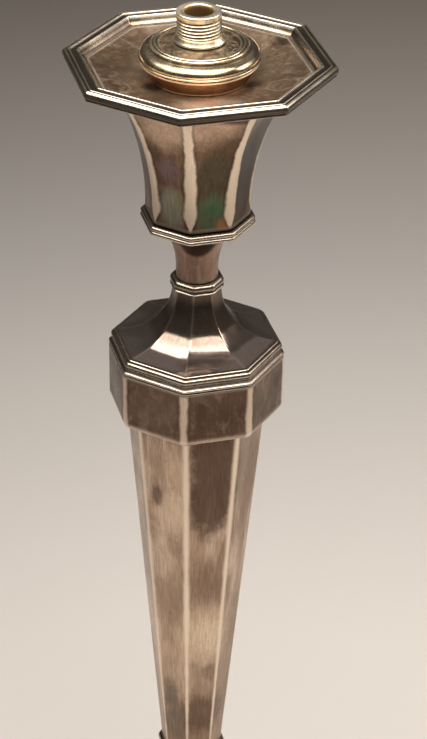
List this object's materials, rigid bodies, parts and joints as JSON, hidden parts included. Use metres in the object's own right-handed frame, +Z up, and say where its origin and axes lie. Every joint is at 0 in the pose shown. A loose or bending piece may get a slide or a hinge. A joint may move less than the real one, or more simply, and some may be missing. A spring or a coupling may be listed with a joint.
{
  "type": "silver candlestick",
  "caption": "Tall octagonal silver-plated candlestick, tapered column and stepped foot, with a loose drip pan and a screwed lamp adaptor.",
  "frame": {"origin": "centre of the foot's underside, where the baize rests", "axes": "+Z up along the stick, a flat facing +X and -X, the cord bush towards +Y"},
  "size_m": [0.11, 0.11, 0.3319],
  "materials": {
    "silver_plate": "tarnished silver plate, rubbed bright along the corners",
    "pan_plate": "warm worn silver plate with water and wax rings",
    "adaptor_plate": "turned brass with worn plating",
    "lamp_brass": "bright threaded brass with a tarnished bore",
    "brass_fittings": "dull turned brass",
    "steel_fittings": "dull zinc-plated steel",
    "loading": "black-brown poured pitch and plaster",
    "cork": "pressed cork",
    "baize": "green wool baize"
  },
  "bodies": {
    "stick": {"baize_pad": "baize", "base_border": "silver_plate", "base_shell": "silver_plate", "base_plate": "steel_fittings", "base_loading": "loading", "cord_bush": "brass_fittings", "cord_bush_nut": "brass_fittings", "foot_ring": "silver_plate", "foot_flare": "silver_plate", "lower_collar": "silver_plate", "column_shell": "silver_plate", "column_loading": "loading", "knop_soffit": "silver_plate", "knop_band": "silver_plate", "knop_loading": "loading", "knop_moulding": "silver_plate", "shoulder_canopy": "silver_plate", "neck_collar": "silver_plate", "neck": "silver_plate", "capital_base_moulding": "silver_plate", "capital_shell": "silver_plate", "capital_floor": "steel_fittings", "capital_lip": "silver_plate", "tie_tube": "steel_fittings", "lower_washer": "steel_fittings", "lower_nut": "brass_fittings", "upper_washer": "steel_fittings", "upper_nut": "brass_fittings"},
    "nozzle": {"drip_pan": "pan_plate", "pan_border": "pan_plate", "candle_socket": "pan_plate", "socket_mouth": "pan_plate"},
    "adaptor": {"adaptor_cap": "adaptor_plate", "adaptor_plug": "cork", "plug_washer": "steel_fittings", "nipple_nut": "brass_fittings", "lamp_nipple": "lamp_brass"}
  },
  "joints": [
    {"name": "nozzle_lift", "type": "slide", "parent": "stick", "child": "nozzle", "axis": [0, 0, 1], "range_m": [0, 0.045]},
    {"name": "adaptor_lift", "type": "slide", "parent": "nozzle", "child": "adaptor", "axis": [0, 0, 1], "range_m": [0, 0.04]}
  ]
}
